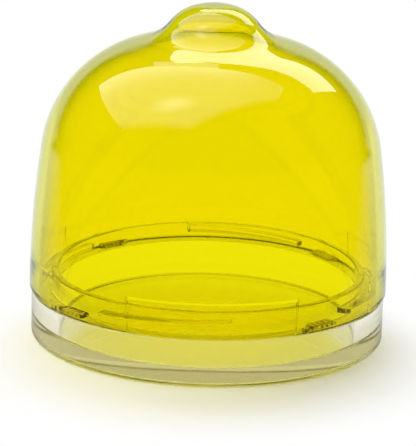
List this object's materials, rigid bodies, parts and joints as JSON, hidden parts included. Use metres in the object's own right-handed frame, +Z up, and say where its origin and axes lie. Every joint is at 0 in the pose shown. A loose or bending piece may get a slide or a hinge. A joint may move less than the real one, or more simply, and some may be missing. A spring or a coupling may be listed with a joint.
{
  "type": "lemon keeper",
  "caption": "Lemon-shaped food keeper: a see-through domed lid with a nub on top closes over a low clear round base with a lugged collar.",
  "frame": {"origin": "centre of the underside, on the plane that the base stands on", "axes": "+Z up along the common axis of base and dome, -Y towards the camera, +X to the right in the picture"},
  "size_m": [0.088, 0.088, 0.0819],
  "materials": {
    "clear_plastic": "clear, polished",
    "yellow_plastic": "see-through yellow, polished"
  },
  "bodies": {
    "base": {"base": "clear_plastic"},
    "lid": {"dome": "yellow_plastic"}
  },
  "joints": [
    {"name": "lid_lift", "type": "slide", "parent": "base", "child": "lid", "axis": [0, 0, 1], "range_m": [0, 0.08]}
  ]
}
